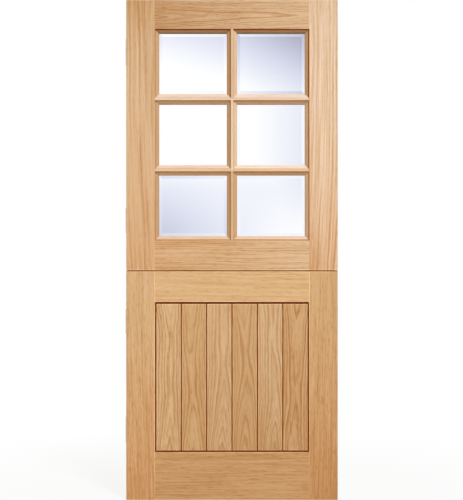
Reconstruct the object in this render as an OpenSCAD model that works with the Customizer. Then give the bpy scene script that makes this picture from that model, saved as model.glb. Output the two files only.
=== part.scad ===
// Dutch stable door: two oak leaves, one above the other, hung on four butt hinges.
// Lengths are in millimetres. X runs to the right, Y away from the front face, Z up.

/* [Door] */
// width of both leaves
door_w = 838; // [700:1:1000]
// height over both leaves
door_h = 1981; // [1850:1:2200]
// thickness of both leaves
door_t = 44; // [40:1:56]
// height of the lower leaf at its front face
lower_h = 907; // [800:1:1000]

/* [Meeting line] */
// gap between the two leaves
meeting_gap = 3; // [2:0.5:5]
// height of the step in the meeting edges
rebate_h = 12; // [8:1:18]
// gap between the upright faces of the step
rebate_gap = 2; // [1:0.5:4]

/* [Stiles and rails] */
// width of the four stiles
stile_w = 114; // [95:1:140]
// chamfer along the outer edges of the stiles
stile_arris = 1; // [0.5:0.5:3]
// height of the rail at the head of the upper leaf
top_rail_h = 115; // [95:1:150]
// height of the rail at the foot of the upper leaf
upper_foot_h = 120; // [95:1:150]
// height of the rail at the head of the lower leaf
lower_head_h = 122; // [100:1:150]
// height of the rail at the foot of the lower leaf
bottom_rail_h = 190; // [150:1:240]

/* [Dowels] */
// radius of the corner dowels
dowel_r = 8; // [5:0.5:10]
// length of the corner dowels
dowel_l = 120; // [80:1:150]
// chamfer at the ends of the dowels
dowel_chamfer = 1.5; // [0.5:0.5:3]
// room round a dowel in its bore
dowel_clear = 0.1; // [0.05:0.05:0.3]
// room at each end of a dowel
dowel_end_room = 1; // [0.5:0.5:3]
// distance from a rail's edge to the nearest dowel axis
dowel_edge = 32; // [28:1:40]

/* [Glazing bars] */
// width of the flat face of the bars
bar_w = 10; // [6:1:24]
// length of the stub tenons on the bars
bar_tenon_l = 12; // [8:1:20]
// thickness of the stub tenons, front to back
bar_tenon_t = 20; // [12:1:30]
// room round a stub tenon
bar_tenon_clear = 0.2; // [0.1:0.05:0.5]
// room in the cross laps of the bars
lap_clear = 0.1; // [0.05:0.05:0.3]

/* [Glass units] */
// thickness of each pane
pane_t = 4; // [3:0.5:6]
// width of the cavity between the two panes
cavity_t = 6; // [4:0.5:10]
// room between a unit and the wood round it
unit_room = 3; // [2:0.5:6]
// width of the bevel on the front panes
bevel_w = 25; // [20:1:35]
// depth of the bevel on the front panes
bevel_d = 1; // [0.5:0.25:2.5]
// distance from a pane's edge to the spacer
spacer_inset = 3; // [1:0.5:5]
// width of the spacer
spacer_w = 8; // [5:0.5:10]
// length of a setting block
block_l = 30; // [20:1:50]

/* [Beads] */
// width of the glazing beads
bead_w = 15.5; // [12:0.5:22]
// how far a bead's outer edge lies below the leaf's face
bead_drop = 5; // [1:0.5:8]
// width of the level edge beside the wood
bead_flat = 1; // [0.5:0.5:4]
// height of the bead's thin edge above the glass
bead_edge_h = 1.5; // [1:0.5:4]
// how far the bead's face swells above a straight slope
bead_swell = 0.9; // [0.5:0.1:2]
// hairline gap in the mitres of the beads
mitre_gap = 0.2; // [0.1:0.05:0.5]

/* [Panel boards] */
// how far the boards' faces lie below the leaf's face
board_recess = 3; // [0.5:0.5:5]
// open gap between the boards and the frame round them
panel_gap = 4.5; // [2:0.5:8]
// open gap between the boards and the rail above them
panel_head_gap = 8; // [2:0.5:12]
// open gap between two boards
board_gap = 3; // [1:0.5:4]
// chamfer along the boards' edges
board_chamfer = 2; // [0.5:0.5:4]
// thickness of the boards' tongues
tongue_t = 12; // [8:1:16]
// room beside a tongue in its groove
tongue_clear = 0.2; // [0.1:0.05:0.5]
// depth of the groove round the panel
panel_groove_d = 13; // [9:1:18]
// room at the end of a tongue in that groove
panel_groove_room = 2; // [1:0.5:4]
// depth of the groove in a board's edge
board_groove_d = 9; // [6:1:12]
// room at the end of a tongue in a board's groove
board_groove_room = 0.2; // [0.2:0.1:2]

/* [Hinges] */
// height of a hinge
hinge_h = 102; // [90:1:130]
// width of a flap, from the hinge axis to its edge
flap_w = 32; // [30:1:42]
// thickness of a flap
flap_t = 2.5; // [2.5:0.5:4]
// radius of the knuckles
knuckle_r = 5.5; // [5:0.5:8]
// room between the knuckles and the leaf's back face
knuckle_set = 1.2; // [0.8:0.1:4]
// room round the other flap's knuckles
knuckle_room = 0.6; // [0.4:0.1:1.5]
// gap between two knuckles
knuckle_gap = 0.4; // [0.2:0.1:1]
// gap between the closed flaps, the same as between leaf and door frame
hinge_gap = 1.5; // [1.5:0.5:5]
// room round a flap in its recess
recess_clear = 0.2; // [0.1:0.05:0.5]
// radius of the hinge pins
pin_r = 3; // [2:0.25:3.5]
// room round a pin in its knuckles
pin_clear = 0.05; // [0.02:0.01:0.1]
// radius of the button at each end of a pin
pin_head_r = 4.8; // [4:0.1:7]
// height of that button
pin_head_h = 3.5; // [2:0.5:6]
// height of the straight rim of that button
pin_head_rim = 1; // [0.5:0.1:1.5]
// distance from a leaf's end to its hinge
hinge_edge = 150; // [120:1:200]
// distance from the floor end of the door to the lowest hinge
foot_hinge_edge = 225; // [150:1:260]

/* [Hinge screws] */
// radius of the screw holes in the flaps
screw_hole_r = 2.6; // [2.4:0.1:3]
// radius of the countersinks in the flaps
screw_head_r = 4.2; // [3.8:0.1:4.6]
// radius of the screws' shanks
screw_r = 2.1; // [1.5:0.1:2.3]
// length of the screws
screw_l = 32; // [20:1:50]
// length of the screws' points
screw_point_l = 5; // [3:1:8]
// width of the slot across a screw's head
slot_w = 1.2; // [0.8:0.1:1.6]
// depth of that slot
slot_d = 1; // [0.5:0.1:1.2]
// how far the screw heads lie below the flap's face
head_sink = 0.1; // [0.05:0.05:0.5]
// room round a screw head in its countersink
head_clear = 0.1; // [0.05:0.05:0.2]
// room round a screw in its pilot hole
pilot_clear = 0.1; // [0.05:0.05:0.3]
// room past the point of a screw
pilot_room = 1; // [0.5:0.5:4]
// distance from the hinge axis to the outer pair of holes
screw_row_out = 24; // [22:1:25]
// distance from the hinge axis to the inner pair of holes
screw_row_in = 15; // [13:1:17]
// distance from a flap's end to its outer hole
screw_end_out = 12; // [10:1:16]
// distance from a flap's end to its inner hole
screw_end_in = 38; // [30:1:40]

/* [Hidden] */
$fn = 72;
over = 1;
// layout of the glazing, the boards and the hinges
columns = 2;
rows = 3;
panes = columns * rows;
boards = 6;
hinges = 4;
knuckles = 5;

// frame of the leaves
back_y = door_t / 2;
open_x = door_w / 2 - stile_w;
upper_z = lower_h + meeting_gap;
shoulder_z = lower_h - rebate_h;
lip_z = shoulder_z + meeting_gap;
open_z0 = upper_z + upper_foot_h;
open_z1 = door_h - top_rail_h;
panel_z0 = bottom_rail_h;
panel_z1 = lower_h - lower_head_h;

// glazing
light_w = (2 * open_x - (columns - 1) * bar_w) / columns;
light_h = (open_z1 - open_z0 - (rows - 1) * bar_w) / rows;
unit_t = 2 * pane_t + cavity_t;
unit_w = light_w - 2 * unit_room;
unit_h = light_h - 2 * unit_room;
cross_z = [for (j = [1:rows - 1]) open_z1 - j * (light_h + bar_w) + bar_w / 2];
bead_h = (door_t - unit_t) / 2 - bead_drop;
bead_run = bead_w - bead_flat;
bead_fall = bead_h - bead_edge_h;
bead_slope_l = norm([bead_run, bead_fall]);
bead_arc_r = pow(bead_slope_l, 2) / (8 * bead_swell) + bead_swell / 2;
bead_arc_x = -(bead_h + bead_edge_h) / 2 + (bead_arc_r - bead_swell) * bead_run / bead_slope_l;
bead_arc_y = (bead_flat + bead_w) / 2 - (bead_arc_r - bead_swell) * bead_fall / bead_slope_l;
bevel_at_sight = bevel_d * (1 - (bead_w - unit_room) / bevel_w);

// panel
board_t = door_t - 2 * board_recess;
board_pitch = (2 * open_x - 2 * panel_gap + board_gap) / boards;
board_w = board_pitch - board_gap;
board_z0 = panel_z0 + panel_gap;
board_z1 = panel_z1 - panel_head_gap;
tongue_z0 = panel_z0 - panel_groove_d;
tongue_z1 = panel_z1 + panel_groove_d - panel_groove_room;
tongue_x = open_x + panel_groove_d - panel_groove_room;

// hinges
axis_x = -door_w / 2 - hinge_gap / 2;
axis_y = back_y + knuckle_set + knuckle_r;
knuckle_h = hinge_h / knuckles;
hinge_z = [
    door_h - hinge_edge - hinge_h,
    upper_z + hinge_edge,
    lower_h - hinge_edge - hinge_h,
    foot_hinge_edge
];
frame_knuckles = [0, 2, 4];
leaf_knuckles = [1, 3];
sink_h = screw_head_r - screw_hole_r;
head_top_r = screw_head_r - head_sink - head_clear;
pin_dome_r = (pow(pin_head_r, 2) + pow(pin_head_h - pin_head_rim, 2)) / (2 * (pin_head_h - pin_head_rim));
screw_places = [
    [screw_row_out, screw_end_out],
    [screw_row_out, hinge_h - screw_end_out],
    [screw_row_in, screw_end_in],
    [screw_row_in, hinge_h - screw_end_in]
];

// finishes
oak = [0.82, 0.66, 0.47];
oak_light = [0.86, 0.71, 0.53];
oak_dark = [0.77, 0.6, 0.41];
beech = [0.88, 0.78, 0.62];
clear_glass = [0.88, 0.92, 0.96, 0.35];
aluminium = [0.75, 0.76, 0.77];
black_rubber = [0.12, 0.12, 0.13];
satin_steel = [0.72, 0.72, 0.7];
screw_steel = [0.66, 0.66, 0.64];

// rows of dowels over the height of a rail
function dowel_rows(z0, z1, n) = [
    for (i = [0:n - 1]) z0 + dowel_edge + i * (z1 - z0 - 2 * dowel_edge) / (n - 1)
];
upper_dowel_z = concat(dowel_rows(open_z1, door_h, 2), dowel_rows(upper_z, open_z0, 2));
lower_dowel_z = concat(dowel_rows(panel_z1, shoulder_z, 2), dowel_rows(0, bottom_rail_h, 3));

// middle of light n, counted from the top left
function light_x(n) = (((n - 1) % columns) - (columns - 1) / 2) * (light_w + bar_w);
function light_z(n) = open_z1 - light_h / 2 - floor((n - 1) / columns) * (light_h + bar_w);

// a box between two corners
module slab(x0, x1, y0, y1, z0, z1) {
    translate([x0, y0, z0])
        cube([x1 - x0, y1 - y0, z1 - z0]);
}

// a box over the whole thickness of the leaf
module leaf_blank(x0, x1, z0, z1) {
    slab(x0, x1, -back_y, back_y, z0, z1);
}

// a stile's length of timber, its two outer edges eased; side is -1 at the hinges and 1 at the lock
module stile_blank(side, z0, z1) {
    outer = side * door_w / 2;
    eased = outer - side * stile_arris;
    translate([0, 0, z0])
        linear_extrude(height = z1 - z0)
            polygon([
                [side * open_x, -back_y],
                [eased, -back_y],
                [outer, -back_y + stile_arris],
                [outer, back_y - stile_arris],
                [eased, back_y],
                [side * open_x, back_y]
            ]);
}

// the front of the upper leaf's foot is cut away over the lower leaf's upstand
module upper_rebate() {
    slab(-door_w, door_w, -door_t, rebate_gap / 2, lip_z - over, upper_z);
}

// the back of the lower leaf's head is cut away under the upper leaf's lip
module lower_rebate() {
    slab(-door_w, door_w, -rebate_gap / 2, door_t, shoulder_z, lower_h + over);
}

module dowel_bores(zs) {
    for (side = [-1, 1], z = zs)
        translate([side * open_x, 0, z])
            rotate([0, 90, 0])
                cylinder(r = dowel_r + dowel_clear, h = dowel_l + 2 * dowel_end_room, center = true);
}

module dowels(zs) {
    color(beech)
        for (side = [-1, 1], z = zs)
            translate([side * open_x, 0, z])
                rotate([0, 90, 0])
                    rotate_extrude()
                        polygon([
                            [0, -dowel_l / 2],
                            [dowel_r - dowel_chamfer, -dowel_l / 2],
                            [dowel_r, -dowel_l / 2 + dowel_chamfer],
                            [dowel_r, dowel_l / 2 - dowel_chamfer],
                            [dowel_r - dowel_chamfer, dowel_l / 2],
                            [0, dowel_l / 2]
                        ]);
}

// a bar's tenoned core, grown on every side by room
module upright_tenons(room) {
    reach = bar_tenon_l + room;
    slab(-bar_w / 2 - room, bar_w / 2 + room, -bar_tenon_t / 2 - room, bar_tenon_t / 2 + room,
        open_z0 - reach, open_z1 + reach);
}

module cross_tenons(z, room) {
    reach = open_x + bar_tenon_l + room;
    slab(-reach, reach, -bar_tenon_t / 2 - room, bar_tenon_t / 2 + room,
        z - bar_w / 2 - room, z + bar_w / 2 + room);
}

// recesses and pilot holes for the leaf flaps of hinges a to b
module hinge_cuts(a, b) {
    for (n = [a:b]) {
        z0 = hinge_z[n - 1];
        slab(-door_w / 2 - over, -door_w / 2 + flap_t, axis_y - flap_w - recess_clear, back_y + over,
            z0 - recess_clear, z0 + hinge_h + recess_clear);
        for (p = screw_places)
            translate([-door_w / 2, axis_y - p[0], z0 + p[1]])
                rotate([0, 90, 0])
                    cylinder(r = screw_r + pilot_clear, h = screw_l + pilot_room);
    }
}

module upper_hinge_stile() {
    color(oak)
        difference() {
            stile_blank(-1, lip_z, door_h);
            upper_rebate();
            dowel_bores(upper_dowel_z);
            for (z = cross_z)
                cross_tenons(z, bar_tenon_clear);
            hinge_cuts(1, 2);
        }
}

module upper_lock_stile() {
    color(oak)
        difference() {
            stile_blank(1, lip_z, door_h);
            upper_rebate();
            dowel_bores(upper_dowel_z);
            for (z = cross_z)
                cross_tenons(z, bar_tenon_clear);
        }
}

module top_rail() {
    color(oak_dark)
        difference() {
            leaf_blank(-open_x, open_x, open_z1, door_h);
            dowel_bores(upper_dowel_z);
            upright_tenons(bar_tenon_clear);
        }
}

module upper_foot_rail() {
    color(oak_dark)
        difference() {
            leaf_blank(-open_x, open_x, lip_z, open_z0);
            upper_rebate();
            dowel_bores(upper_dowel_z);
            upright_tenons(bar_tenon_clear);
        }
}

// the upright bar runs through in front, the cross bars behind
module upright_bar() {
    color(oak)
        difference() {
            union() {
                leaf_blank(-bar_w / 2, bar_w / 2, open_z0, open_z1);
                upright_tenons(0);
            }
            for (z = cross_z)
                slab(-bar_w, bar_w, -lap_clear, door_t, z - bar_w / 2 - lap_clear, z + bar_w / 2 + lap_clear);
        }
}

module cross_bar(z) {
    color(oak)
        difference() {
            union() {
                leaf_blank(-open_x, open_x, z - bar_w / 2, z + bar_w / 2);
                cross_tenons(z, 0);
            }
            slab(-bar_w / 2 - lap_clear, bar_w / 2 + lap_clear, -door_t, lap_clear, z - bar_w, z + bar_w);
        }
}

module at_light(n) {
    translate([light_x(n), 0, light_z(n)])
        children();
}

// cross-section of a front pane over a length, with its front edges bevelled
function bevel_outline(length) = [
    [-length / 2, -cavity_t / 2],
    [-length / 2, -unit_t / 2 + bevel_d],
    [-length / 2 + bevel_w, -unit_t / 2],
    [length / 2 - bevel_w, -unit_t / 2],
    [length / 2, -unit_t / 2 + bevel_d],
    [length / 2, -cavity_t / 2]
];

module front_pane(n) {
    color(clear_glass)
        at_light(n)
            intersection() {
                linear_extrude(height = unit_h, center = true)
                    polygon(bevel_outline(unit_w));
                rotate([90, 0, 90])
                    linear_extrude(height = unit_w, center = true)
                        polygon([for (p = bevel_outline(unit_h)) [p[1], p[0]]]);
            }
}

module back_pane(n) {
    color(clear_glass)
        at_light(n)
            slab(-unit_w / 2, unit_w / 2, cavity_t / 2, unit_t / 2, -unit_h / 2, unit_h / 2);
}

module pane_spacers() {
    outer_w = unit_w - 2 * spacer_inset;
    outer_h = unit_h - 2 * spacer_inset;
    color(aluminium)
        for (n = [1:panes])
            at_light(n)
                difference() {
                    cube([outer_w, cavity_t, outer_h], center = true);
                    cube([outer_w - 2 * spacer_w, cavity_t + over, outer_h - 2 * spacer_w], center = true);
                }
}

// the blocks end behind the front beads' seat
module setting_blocks() {
    color(black_rubber)
        for (n = [1:panes], side = [-1, 1])
            at_light(n)
                translate([side * unit_w / 4, 0, -light_h / 2])
                    slab(-block_l / 2, block_l / 2, -unit_t / 2 + bevel_d, unit_t / 2, 0, unit_room);
}

// bead section: its height above the glass runs along -x, its width along y
module bead_section(seat, seat_at_sight) {
    intersection() {
        polygon([
            [seat, 0],
            [seat, unit_room],
            [seat_at_sight, bead_w],
            [-bead_h, bead_w],
            [-bead_h, 0]
        ]);
        translate([bead_arc_x, bead_arc_y])
            circle(r = bead_arc_r);
    }
}

// one mitred bead along x, with its back edge at z = 0
module bead(length, seat, seat_at_sight) {
    half = (length - mitre_gap) / 2;
    intersection() {
        rotate([90, 0, 90])
            linear_extrude(height = length, center = true)
                bead_section(seat, seat_at_sight);
        rotate([90, 0, 0])
            linear_extrude(height = 2 * door_t, center = true)
                polygon([
                    [-half, 0],
                    [half, 0],
                    [half - bead_w, bead_w],
                    [-half + bead_w, bead_w]
                ]);
    }
}

module bead_ring(seat, seat_at_sight) {
    translate([0, -unit_t / 2, 0]) {
        translate([0, 0, -light_h / 2])
            bead(light_w, seat, seat_at_sight);
        translate([0, 0, light_h / 2])
            rotate([0, 180, 0])
                bead(light_w, seat, seat_at_sight);
        translate([-light_w / 2, 0, 0])
            rotate([0, 90, 0])
                bead(light_h, seat, seat_at_sight);
        translate([light_w / 2, 0, 0])
            rotate([0, -90, 0])
                bead(light_h, seat, seat_at_sight);
    }
}

// the front beads are cut to the slope of the bevel that they seat on
module front_beads(n) {
    color(oak_light)
        at_light(n)
            bead_ring(bevel_d, bevel_at_sight);
}

module back_beads(n) {
    color(oak_light)
        at_light(n)
            mirror([0, 1, 0])
                bead_ring(0, 0);
}

module panel_groove_in_rails(z0, z1) {
    slab(-open_x - over, open_x + over, -tongue_t / 2 - tongue_clear, tongue_t / 2 + tongue_clear, z0, z1);
}

module panel_groove_in_stiles() {
    reach = open_x + panel_groove_d;
    slab(-reach, reach, -tongue_t / 2 - tongue_clear, tongue_t / 2 + tongue_clear,
        panel_z0 - panel_groove_d, panel_z1 + panel_groove_d);
}

module lower_hinge_stile() {
    color(oak)
        difference() {
            stile_blank(-1, 0, lower_h);
            lower_rebate();
            dowel_bores(lower_dowel_z);
            panel_groove_in_stiles();
            hinge_cuts(3, 4);
        }
}

module lower_lock_stile() {
    color(oak)
        difference() {
            stile_blank(1, 0, lower_h);
            lower_rebate();
            dowel_bores(lower_dowel_z);
            panel_groove_in_stiles();
        }
}

module lower_head_rail() {
    color(oak_dark)
        difference() {
            leaf_blank(-open_x, open_x, panel_z1, lower_h);
            lower_rebate();
            dowel_bores(lower_dowel_z);
            panel_groove_in_rails(panel_z1 - over, panel_z1 + panel_groove_d);
        }
}

module bottom_rail() {
    color(oak_dark)
        difference() {
            leaf_blank(-open_x, open_x, 0, panel_z0);
            dowel_bores(lower_dowel_z);
            panel_groove_in_rails(panel_z0 - panel_groove_d, panel_z0 + over);
        }
}

// a rectangle with its four corners chamfered
function chamfered(x0, x1, y0, y1, c) = [
    [x0 + c, y0],
    [x1 - c, y0],
    [x1, y0 + c],
    [x1, y1 - c],
    [x1 - c, y1],
    [x0 + c, y1],
    [x0, y1 - c],
    [x0, y0 + c]
];

// section of board n, seen from above
module board_plan(n) {
    x0 = -open_x + panel_gap + (n - 1) * board_pitch;
    x1 = x0 + board_w;
    tongue_x0 = n == 1 ? -tongue_x : x0 + board_groove_d;
    tongue_x1 = n == boards ? tongue_x : x1 + board_gap + board_groove_d - board_groove_room;
    difference() {
        polygon(chamfered(x0, x1, -board_t / 2, board_t / 2, board_chamfer));
        if (n > 1)
            translate([x0 - over, -tongue_t / 2 - tongue_clear])
                square([board_groove_d + over, tongue_t + 2 * tongue_clear]);
    }
    translate([tongue_x0, -tongue_t / 2])
        square([tongue_x1 - tongue_x0, tongue_t]);
}

// section of every board, seen from the side
module board_side() {
    polygon(chamfered(-board_t / 2, board_t / 2, board_z0, board_z1, board_chamfer));
    translate([-tongue_t / 2, tongue_z0])
        square([tongue_t, tongue_z1 - tongue_z0]);
}

module board(n) {
    color(n % 2 == 0 ? oak_dark : oak)
        intersection() {
            translate([0, 0, tongue_z0 - over])
                linear_extrude(height = tongue_z1 - tongue_z0 + 2 * over)
                    board_plan(n);
            rotate([90, 0, 90])
                linear_extrude(height = door_w, center = true)
                    board_side();
        }
}

module at_hinge(n) {
    translate([axis_x, axis_y, hinge_z[n - 1]])
        children();
}

// a countersunk screw hole in a flap on one side of the axis
module flap_hole(side) {
    rotate([0, side * 90, 0]) {
        cylinder(r = screw_hole_r, h = flap_t + over);
        cylinder(r1 = screw_head_r, r2 = screw_hole_r, h = sink_h);
        translate([0, 0, -over])
            cylinder(r = screw_head_r, h = over);
    }
}

// a flap on one side of the axis, with its own knuckles and room for the other flap's
module flap(side, own, other) {
    near_x = side * hinge_gap / 2;
    far_x = side * (hinge_gap / 2 + flap_t);
    color(satin_steel)
        difference() {
            union() {
                slab(min(near_x, far_x), max(near_x, far_x), -flap_w, 0, 0, hinge_h);
                for (k = own)
                    translate([0, 0, k * knuckle_h + (k == 0 ? 0 : knuckle_gap / 2)])
                        cylinder(
                            r = knuckle_r,
                            h = knuckle_h - (k == 0 || k == knuckles - 1 ? 1 : 2) * knuckle_gap / 2
                        );
            }
            for (k = other)
                translate([0, 0, k * knuckle_h - (k == 0 ? over : knuckle_gap / 2)])
                    cylinder(
                        r = knuckle_r + knuckle_room,
                        h = knuckle_h + knuckle_gap / 2
                            + (k == 0 || k == knuckles - 1 ? over : knuckle_gap / 2)
                    );
            translate([0, 0, -over])
                cylinder(r = pin_r + pin_clear, h = hinge_h + 2 * over);
            for (p = screw_places)
                translate([near_x, -p[0], p[1]])
                    flap_hole(side);
        }
}

module frame_flap(n) {
    at_hinge(n)
        flap(-1, frame_knuckles, leaf_knuckles);
}

module leaf_flap(n) {
    at_hinge(n)
        flap(1, leaf_knuckles, frame_knuckles);
}

module pin_button() {
    rotate_extrude()
        intersection() {
            square([pin_head_r, pin_head_h]);
            translate([0, pin_head_h - pin_dome_r])
                circle(r = pin_dome_r);
        }
}

module hinge_pin(n) {
    color(satin_steel)
        at_hinge(n) {
            cylinder(r = pin_r, h = hinge_h);
            translate([0, 0, hinge_h])
                pin_button();
            mirror([0, 0, 1])
                pin_button();
        }
}

// a slotted countersunk wood screw along z, its head's face just below z = 0
module wood_screw() {
    difference() {
        rotate_extrude()
            polygon([
                [0, head_sink],
                [head_top_r, head_sink],
                [screw_r, head_sink + head_top_r - screw_r],
                [screw_r, screw_l - screw_point_l],
                [0, screw_l]
            ]);
        slab(-screw_head_r, screw_head_r, -slot_w / 2, slot_w / 2, 0, head_sink + slot_d);
    }
}

module hinge_screws(a, b) {
    color(screw_steel)
        for (n = [a:b], p = screw_places)
            at_hinge(n)
                translate([hinge_gap / 2, -p[0], p[1]])
                    rotate([0, 90, 0])
                        wood_screw();
}

upper_hinge_stile();
upper_lock_stile();
top_rail();
upper_foot_rail();
upright_bar();
cross_bar(cross_z[0]);  // upper_cross_bar
cross_bar(cross_z[1]);  // lower_cross_bar
pane_spacers();
setting_blocks();
dowels(upper_dowel_z);  // upper_dowels
for (n = [1:panes]) {
    front_pane(n);
    back_pane(n);
    front_beads(n);
    back_beads(n);
}
lower_hinge_stile();
lower_lock_stile();
lower_head_rail();
bottom_rail();
dowels(lower_dowel_z);  // lower_dowels
for (n = [1:boards]) {
    board(n);
}
for (n = [1:hinges]) {
    frame_flap(n);
    leaf_flap(n);
    hinge_pin(n);
}
hinge_screws(1, 2);  // upper_hinge_screws
hinge_screws(3, 4);  // lower_hinge_screws
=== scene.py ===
# %% [markdown]
# # A stable door in two leaves
# The door is oak: a glazed leaf above, a boarded leaf below, and butt hinges on the hidden edge.
# Every piece already has its true shape in the frame that is loaded here, so this lesson is about
# light and finish. It goes from the camera to the lamps, then to the timber, the glass and the metal.

# %% Load the frame
import math
import bpy
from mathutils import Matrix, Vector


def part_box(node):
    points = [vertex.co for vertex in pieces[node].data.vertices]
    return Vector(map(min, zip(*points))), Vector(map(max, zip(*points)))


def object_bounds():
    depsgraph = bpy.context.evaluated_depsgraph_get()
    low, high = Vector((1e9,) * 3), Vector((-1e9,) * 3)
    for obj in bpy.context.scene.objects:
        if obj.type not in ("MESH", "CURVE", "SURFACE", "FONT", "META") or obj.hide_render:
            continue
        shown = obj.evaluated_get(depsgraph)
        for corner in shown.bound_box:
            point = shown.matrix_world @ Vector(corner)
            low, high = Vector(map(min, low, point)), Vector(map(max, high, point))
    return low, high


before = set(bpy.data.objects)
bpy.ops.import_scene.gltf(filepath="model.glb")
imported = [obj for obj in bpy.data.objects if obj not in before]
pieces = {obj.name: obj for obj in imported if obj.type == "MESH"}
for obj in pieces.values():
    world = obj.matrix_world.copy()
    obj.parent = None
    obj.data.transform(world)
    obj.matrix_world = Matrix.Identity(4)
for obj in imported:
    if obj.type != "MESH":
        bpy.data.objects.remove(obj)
cad_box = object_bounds()
print("pieces in the frame:", len(pieces), "box:", cad_box)

# %% [markdown]
# ## Camera
# The door is seen square from the front and fills the height of the picture. A long lens would hide
# the depth of the glazing rebates, and a short one would bend the door, so the camera stands five
# metres off: about as far as the narrow view of the bead sides in the top panes asks for.

# %% Camera
door_height = cad_box[1][2] - cad_box[0][2]
camera_distance = 5.0
camera_aside = -0.0019
camera_data = bpy.data.cameras.new("front_camera")
camera_data.sensor_fit = "VERTICAL"
camera_data.sensor_height = 24.0
camera_data.lens = camera_data.sensor_height * camera_distance / door_height
camera = bpy.data.objects.new("front_camera", camera_data)
camera.location = (camera_aside, cad_box[0][1] - camera_distance, door_height / 2)
camera.rotation_euler = (math.radians(90), 0, 0)
bpy.context.scene.collection.objects.link(camera)
bpy.context.scene.camera = camera
bpy.context.scene.view_settings.view_transform = "Standard"
print("lens in mm:", round(camera_data.lens, 2))

# %% [markdown]
# ## Small helpers for node trees
# Each finish below is a tree of nodes. Building one by hand in the editor is quick, but a script can
# be read again, so a few helpers keep the trees short. The first add a node, feed a socket with either
# a number or a link, do a step of arithmetic and ease from one value to another. The next split, join
# and stretch coordinates and make noise from them. The last mix, tint and write colours.

# %% Node helpers
def add_node(tree, kind, **settings):
    made = tree.nodes.new(kind)
    for name, value in settings.items():
        setattr(made, name, value)
    return made


def feed(tree, source, socket):
    if isinstance(source, bpy.types.NodeSocket):
        tree.links.new(source, socket)
    else:
        socket.default_value = source


def reckon(tree, operation, *values, clamp=False):
    step = add_node(tree, "ShaderNodeMath", operation=operation, use_clamp=clamp)
    for socket, value in zip(step.inputs, values):
        feed(tree, value, socket)
    return step.outputs[0]


def ease(tree, value, start, end):
    step = add_node(tree, "ShaderNodeMapRange", interpolation_type="SMOOTHSTEP")
    feed(tree, value, step.inputs["Value"])
    feed(tree, start, step.inputs["From Min"])
    feed(tree, end, step.inputs["From Max"])
    return step.outputs["Result"]


print("node helpers:", [helper.__name__ for helper in (add_node, feed, reckon, ease)])

# %% Coordinate and noise helpers
def split(tree, place):
    step = add_node(tree, "ShaderNodeSeparateXYZ")
    feed(tree, place, step.inputs[0])
    return step.outputs


def join(tree, x, y, z=0.0):
    step = add_node(tree, "ShaderNodeCombineXYZ")
    for socket, value in zip(step.inputs, (x, y, z)):
        feed(tree, value, socket)
    return step.outputs[0]


def vector_step(tree, operation, place, other):
    step = add_node(tree, "ShaderNodeVectorMath", operation=operation)
    feed(tree, place, step.inputs[0])
    feed(tree, other, step.inputs[1])
    return step.outputs[0]


def how_far(tree, place):
    step = add_node(tree, "ShaderNodeVectorMath", operation="LENGTH")
    feed(tree, place, step.inputs[0])
    return step.outputs["Value"]


def cloudy(tree, place, scale, detail):
    step = add_node(tree, "ShaderNodeTexNoise")
    feed(tree, place, step.inputs["Vector"])
    feed(tree, scale, step.inputs["Scale"])
    feed(tree, detail, step.inputs["Detail"])
    return step.outputs


def streaky(tree, place, waves, detail):
    return cloudy(tree, vector_step(tree, "MULTIPLY", place, waves), 1.0, detail)


place_helpers = (split, join, vector_step, how_far, cloudy, streaky)
print("coordinate and noise helpers:", [helper.__name__ for helper in place_helpers])

# %% Colour helpers
def blend_colours(tree, amount, first, second, way="MIX"):
    step = add_node(tree, "ShaderNodeMix", data_type="RGBA", blend_type=way)
    feed(tree, amount, step.inputs[0])
    feed(tree, first, step.inputs[6])
    feed(tree, second, step.inputs[7])
    return step.outputs[2]


def tint(tree, colour, factors):
    return blend_colours(tree, 1.0, colour, factors, "MULTIPLY")


def paint(red, green, blue):
    def to_linear(level):
        share = level / 255
        if share <= 0.04045:
            return share / 12.92
        return ((share + 0.055) / 1.055) ** 2.4
    return (to_linear(red), to_linear(green), to_linear(blue), 1.0)


print("a mid oak in linear light:", [round(v, 3) for v in paint(215, 172, 127)])

# %% [markdown]
# ## Surroundings
# The door stands before white, and the panes show what is behind it: white with a lavender haze to
# the upper right and the lower left. A flat white would make the glass vanish, and paint on the panes
# would slide wrongly in other views. So the haze hangs in the surroundings, by direction, and only
# rays that pass through glass see it. The bevels bend those rays and draw themselves.

# %% Where the haze hangs
haze_climb = (8.6, -1.137)
right_half_climb = 2.4
across_climb = 2.6
right_side_climb = (28.0, -0.5)
right_side_most = 0.18
lower_left_patch = ((-0.095, -0.005), (0.14, 0.085))
lower_left_most = 0.41
lower_band = (0.072, 0.045)
lower_band_most = 0.11
clear_patch = ((0.078, -0.008), (0.085, 0.07))
clear_strength = 1.5
haze_most = 0.60
straight_ahead = (0.90, 0.97)


def soft_patch(tree, across, up, centre, reach):
    aside = reckon(tree, "DIVIDE", reckon(tree, "SUBTRACT", across, centre[0]), reach[0])
    above = reckon(tree, "DIVIDE", reckon(tree, "SUBTRACT", up, centre[1]), reach[1])
    aside_square = reckon(tree, "MULTIPLY", aside, aside)
    above_square = reckon(tree, "MULTIPLY", above, above)
    from_centre = reckon(tree, "SQRT", reckon(tree, "ADD", aside_square, above_square))
    return ease(tree, from_centre, 1.0, 0.0)


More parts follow.
